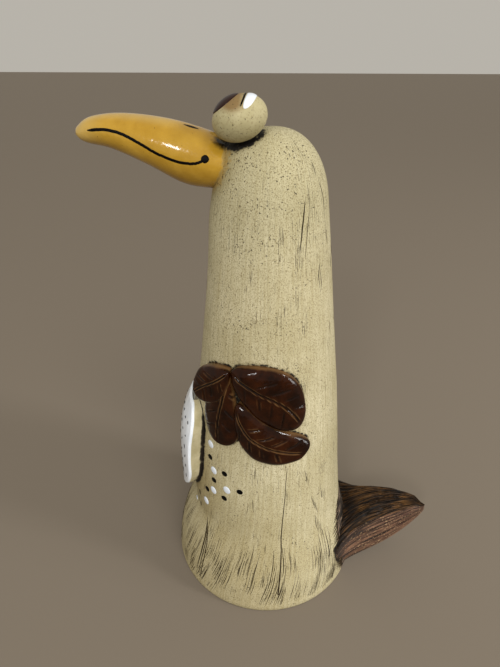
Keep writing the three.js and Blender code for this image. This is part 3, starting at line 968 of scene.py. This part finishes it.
# Mouth line, its corner dot and the nostril dashes, as (y, z) seen from the side
paint = {
    "mouth": [
        (-76.0, 245.4), (-69.1, 246.0), (-64.1, 245.5), (-59.9, 244.4), (-55.9, 242.7), (-51.8, 240.7),
        (-47.7, 238.5), (-44.0, 236.9), (-40.3, 235.6), (-36.5, 234.6), (-33.0, 234.2), (-30.6, 234.3),
        (-28.7, 234.8), (-27.0, 235.6),
    ],
    "corner": (-26.5, 236.0), "cornerRadius": 1.65, "mouthHalf": 0.8,
    "nostril": [(-36.4, 248.4), (-30.2, 247.1)], "nostrilHalf": 1.3, "nostrilAside": 2.9,
}
beakTree = treeOf(made["beak"])
for side, label in ((1, "left"), (-1, "right")):
    line = splineThrough(paint["mouth"], 90)
    rays = [((side * 40, y, z), (-side, 0, 0)) for y, z in line]
    widths = paint["mouthHalf"] * np.clip(np.linspace(0, 1, 90) * 20 + 0.5, 0, 1)
    strip("mouth_" + label, beakTree, rays, widths, 0.16, blackMaterial)
    y, z = paint["corner"]
    steps = np.linspace(-1, 1, 25) * paint["cornerRadius"] * 0.999
    disc = [((side * 40, y + t, z), (-side, 0, 0)) for t in steps]
    reach = paint["cornerRadius"] * halfRound(np.linspace(-1, 1, 25), 0.01)
    strip("mouth_corner_" + label, beakTree, disc, reach, 0.3, blackMaterial)
    dash = splineThrough(paint["nostril"], 20)
    rays = [((side * paint["nostrilAside"], y, 280), (0, 0, -1)) for y, z in dash]
    reach = paint["nostrilHalf"] * halfRound(np.linspace(-1, 1, 20), 0.05)
    strip("nostril_" + label, beakTree, rays, reach, 0.15, blackMaterial)
print("beak paint done")


# Pupil, black lash line and white crescent on each eye
def eyeRows(side, name, sweep, front, back, height, material):
    # A band over the ball from side to side; front and back are its y offsets along the way
    turn, share = sweep[:, None], np.linspace(0, 1, 15)[None, :]
    y = front[:, None] + (back - front)[:, None] * share
    directions = np.stack([np.sin(turn) + 0 * share, y / 9.0, np.cos(turn) + 0 * share], -1)
    directions /= np.linalg.norm(directions, axis=-1, keepdims=True)
    ends = np.sqrt(np.sin(np.linspace(0.02, 0.98, len(sweep)) * np.pi))[:, None]
    dome = height * halfRound(2 * share - 1) * ends
    upper = eyePoints(side, directions, dome - 0.06)
    lower = eyePoints(side, directions[:, 7:8], np.full((len(sweep), 1), -0.6))
    return loftMesh(name, np.concatenate([upper, lower], 1), material)


def pupil(side, name):
    facing = np.array([0, -0.67, 0.742])
    beside = np.array([1.0, 0, 0])
    upward = np.cross(facing, beside)
    rings, sides = 22, 64
    share = np.linspace(0.02, 1, rings)[:, None]
    turn = np.linspace(0, 2 * np.pi, sides, endpoint=False)[None, :]
    spread = 0.7 * share
    directions = np.cos(spread)[..., None] * facing + np.sin(spread)[..., None] * (
        np.cos(turn)[..., None] * beside + np.sin(turn)[..., None] * upward)
    dome = 0.75 * np.sqrt(np.clip(1 - share ** 2.6, 0, 1)) + 0 * turn
    upper = eyePoints(side, directions, dome - 0.05)[::-1]
    lower = eyePoints(side, directions[-1:], np.full((1, sides), -0.8))
    return loftMesh(name, np.concatenate([lower, upper]), pupilMaterial)


for side, label in ((1, "left"), (-1, "right")):
    pupil(side, "pupil_" + label)
    sweep = np.linspace(-1.12, 1.12, 60)
    bow = (sweep / 1.12) ** 2
    narrowing = np.sqrt(1 - (0.998 * sweep / 1.12) ** 6)
    middle, wide = 5.4 - 2.8 * bow, 2.4 - 0.8 * bow
    eyeRows(
        side, "crescent_" + label, sweep, middle - wide * narrowing, middle + wide * narrowing, 0.42,
        whiteMaterial,
    )
    eyeRows(
        side, "lash_" + label, sweep, 2.0 - 1.6 * bow, 2.9 - 1.6 * bow, 0.14, blackMaterial,
    )
print("eye paint done")

# Dots below the wings: (degrees from the front, height) by kind
dots = {
    "white": {
        "places": [(45.3, 98.0), (50.3, 83.0), (50.9, 69.8), (63.5, 75.4), (43.0, 57.9)],
        "size": (2.15, 2.4, 0.5), "material": whiteMaterial, "slot": "white_glaze",
    },
    "black": {
        "places": [(45.6, 89.8), (60.8, 85.1), (51.0, 76.8), (43.9, 67.0), (73.9, 77.3), (61.5, 69.1)],
        "size": (1.75, 1.65, 0.4), "material": blackMaterial, "slot": "black_glaze",
    },
    "thin": {
        "places": [(32.6, 57.4), (32.4, 47.4), (36.4, 114.5), (36.2, 103.5)], "size": (0.6, 1.8, 0.3),
        "material": blackMaterial, "slot": "black_glaze",
    },
    "faint": {
        "places": [(21.3, 43.8)], "size": (1.3, 2.0, 0.3), "material": whiteMaterial,
        "slot": "white_glaze",
    },
}
for kind, mark in dots.items():
    both = [(side * math.radians(turn), z, side * 0.25) for turn, z in mark["places"] for side in (1, -1)]
    angle, height, lean = np.array(both).T
    points = around(angle, height, bodyRadius(angle, height) + relief(angle, height))
    turns = [facingOut(a, l) for a, l in zip(angle, lean)]
    values = {"turn": turns, "size": np.tile(mark["size"], (len(points), 1))}
    sizes = {"Drop Sides": 28, "Drop Rings": 14}
    grown("dots_" + kind, drops, points, [], values, sizes, mark["material"])
print("dots done")

# Hairline scratches filled with oxide: many over the foot, few above, one long crack, and one long thick
# dark line low on the front of the foot
hairNoise = np.random.default_rng(8)
hairline = {"clusters": 180, "onFoot": 0.6, "sink": 0.05, "step": 1.2, "spacing": 0.022, "sweep": 0.22}


def flow(angle, z):
    # How far a stroke has drifted round the body at a height: swept forwards over the foot
    spread = hairline["sweep"] * np.cos(np.abs(angle) - 1.35) * np.sign(angle)
    return spread * (1 - np.clip(z / 50, 0, 1)) ** 2 + 0.03 * ripple(angle * 2 + 9, z / 14, 53)


def scratchLine(angle, z, length, half):
    # Columns: angle, height, half-thickness
    steps = np.linspace(0, 1, max(6, int(length / hairline["step"])))
    heights = z + steps * length
    taper = (
        np.sqrt(np.sin(lerp(0.04, 0.96, steps) * np.pi))
        * (0.75 + 0.35 * ripple(steps * 6, z + angle, 54))
    )
    return np.stack([angle - flow(angle, heights), heights, half * taper], -1)


def hairMesh(name, lines):
    chains, edges = np.concatenate(lines), []
    start = 0
    for line in lines:
        edges += [(start + i, start + i + 1) for i in range(len(line) - 1)]
        start += len(line)
    angle, z, half = chains.T
    points = around(angle, z, bodyRadius(angle, z) + relief(angle, z) - hairline["sink"])
    sizes = {"Line Sides": 6, "Thickness": 1.0}
    return grown(name, hairs, points, edges, {"half": half}, sizes, oxideMaterial)


lines = []
for number in range(hairline["clusters"]):
    onFoot = number < hairline["clusters"] * hairline["onFoot"]
    middle = hairNoise.uniform(-np.pi, np.pi)
    base = hairNoise.uniform(-6, 26) if onFoot else 34 + 175 * hairNoise.uniform() ** 1.5
    for line in range(hairNoise.integers(3, 9 if onFoot else 6)):
        angle = middle + hairline["spacing"] * (line + hairNoise.uniform(-0.4, 0.4))
        z = max(1.0, base + hairNoise.uniform(-3, 3))
        half = hairNoise.uniform(0.1, 0.3 if onFoot else 0.17)
        lines.append(scratchLine(angle, z, hairNoise.uniform(5, 23 if onFoot else 9), half))
longScratchesAndFootLine = [
    {"way": [(126.2, 222), (122.9, 213), (119.4, 201)], "half": 0.32, "beside": 1},
    {"way": [(130.5, 218), (127.5, 208), (125.0, 198)], "half": 0.16, "beside": 1},
    {"way": [(148.5, 229), (153.5, 220), (154.3, 212)], "half": 0.2, "beside": 1},
    {"way": [(142.4, 195), (138.8, 186)], "half": 0.22, "beside": 3},
    # A long, thick dark line low on the front of the foot
    {"way": [(44.1, 45.7), (46.7, 37.5), (47.0, 24.1), (45.4, 10.0)], "half": 0.42, "beside": 3},
    {"way": [(128.4, 71), (132.0, 60)], "half": 0.2, "beside": 3},
    {"way": [(132.0, 56), (134.1, 43)], "half": 0.22, "beside": 4},
    {"way": [(122.6, 90), (124.5, 80)], "half": 0.16, "beside": 2},
]
for scratch in longScratchesAndFootLine:
    for number in range(scratch["beside"]):
        way = splineThrough(scratch["way"], 40)
        steps = np.linspace(0.02, 0.98, 40)
        drift = number * hairline["spacing"] * 1.3 + 0.004 * ripple(steps * 7, way[0, 1] + number, 55)
        half = scratch["half"] * np.sqrt(np.sin(steps * np.pi)) * (1 - 0.25 * (number > 0))
        lines.append(np.stack([np.radians(way[:, 0]) + drift, way[:, 1] - 2.5 * number, half], -1))
steps = np.linspace(0, 1, 80)
crack = np.stack([
    lerp(1.78, 1.89, steps) + 0.006 * ripple(steps * 9, 3.0, 52), lerp(13, 94, steps),
    lerp(0.44, 0.12, steps),
], -1)
hairMesh("scratches", lines + [crack])

# A ragged fringe of the comb's strokes on the body beside the tail
fringe = []
for side in (1, -1):
    for z in np.arange(3, 45, 0.95):
        length = hairNoise.uniform(1.5, 5.5)
        steps = np.linspace(0, 1, 7)
        height = z - 0.5 * steps + 0.4 * hairNoise.normal() * steps
        angle = side * (math.radians(tailBorder(z)) + 0.04 - (length / 46 + 0.04) * steps)
        fringe.append(np.stack([angle, height, hairNoise.uniform(0.25, 0.5) * (1 - 0.75 * steps)], -1))
hairMesh("tail_fringe", fringe)
print("scratches done")

# Rows of short strokes on the tablet's face, none of them a letter
strokes = {"rows": 6, "columns": 9, "low": 70, "high": 106, "reach": 0.5}
tabletTree = treeOf(made["tablet"])
places, turns, sizes = [], [], []
for row, height in enumerate(np.linspace(strokes["low"], strokes["high"], strokes["rows"])):
    for column, angle in enumerate(np.linspace(-strokes["reach"], strokes["reach"], strokes["columns"])):
        z = height + 0.6 * math.sin(column * 1.7 + row)
        x, y = math.sin(angle), -math.cos(angle)
        hit = onSurface(tabletTree, (90 * x, 90 * y, z), (-x, -y, 0))
        places.append(hit[0])
        turns.append(facingOut(angle, hairNoise.uniform(-0.5, 0.5)))
        sizes.append((0.5, hairNoise.uniform(0.7, 1.7), 0.2))
values = {"turn": turns, "size": sizes}
sizes = {"Drop Sides": 16, "Drop Rings": 8}
grown("tablet_strokes", drops, places, [], values, sizes, blackMaterial)
print("tablet strokes done")

# Floor, backdrop and lights
scene = bpy.context.scene
floorMaterial = plainCoat("StudioFloor", "#766c5f", 0.75, 0.2)
floorMesh = bpy.data.meshes.new("floor")
floorMesh.from_pydata([(-6, -6, 0), (6, -6, 0), (6, 6, 0), (-6, 6, 0)], [], [(0, 1, 2, 3)])
floorMesh.materials.append(floorMaterial)
floorPiece = placed("floor", floorMesh)

world = bpy.data.worlds.new("studio")
scene.world = world
world.use_nodes = True
world.node_tree.nodes["Background"].inputs[0].default_value = linear("#cbc6bc")
world.node_tree.nodes["Background"].inputs[1].default_value = 0.8


def areaLight(name, place, size, power, colour="#ffffff", target=(0, 0, 0.13)):
    light = bpy.data.lights.new(name, "AREA")
    light.energy, light.size, light.color = power, size, linear(colour)[:3]
    holder = placed(name, light)
    holder.location = place
    holder.rotation_euler = (Vector(target) - Vector(place)).to_track_quat("-Z", "Y").to_euler()


areaLight("high_window", (0.3, 1.05, 0.85), 0.17, 4.6)
areaLight("low_window", (0.28, 1.3, 0.36), 0.34, 4.5)
areaLight("far_window", (0.95, -0.22, 0.78), 0.15, 3.2)
sun = bpy.data.lights.new("sky", "SUN")
sun.energy, sun.angle = 2.13, math.radians(50)
sunHolder = placed("sky", sun)
sunHolder.rotation_euler = (-Vector((1.2, 0.38, 0.95))).to_track_quat("-Z", "Y").to_euler()
sunHolder.visible_glossy = False

# Camera of the photograph: beside the bird's left, looking 30 degrees down
azimuth, pitch, cameraHeight = math.radians(95), math.radians(30), 0.276
ahead, aside = 0.79587587 * cameraHeight, 0.0340022 * cameraHeight
level = Vector((-math.sin(azimuth), math.cos(azimuth), 0))
right = Vector((math.cos(azimuth), math.sin(azimuth), 0))
place = -aside * right - ahead * level + Vector((0, 0, cameraHeight))
look = math.cos(pitch) * level - math.sin(pitch) * Vector((0, 0, 1))
camera = bpy.data.cameras.new("camera")
camera.lens, camera.sensor_width, camera.clip_start = 501 * 36 / 667, 36, 0.01
cameraHolder = placed("camera", camera)
cameraHolder.matrix_world = (
    Matrix.Translation(place) @ Matrix((right, right.cross(look), -look)).transposed().to_4x4()
)
scene.camera = cameraHolder
scene.view_settings.view_transform = "Standard"
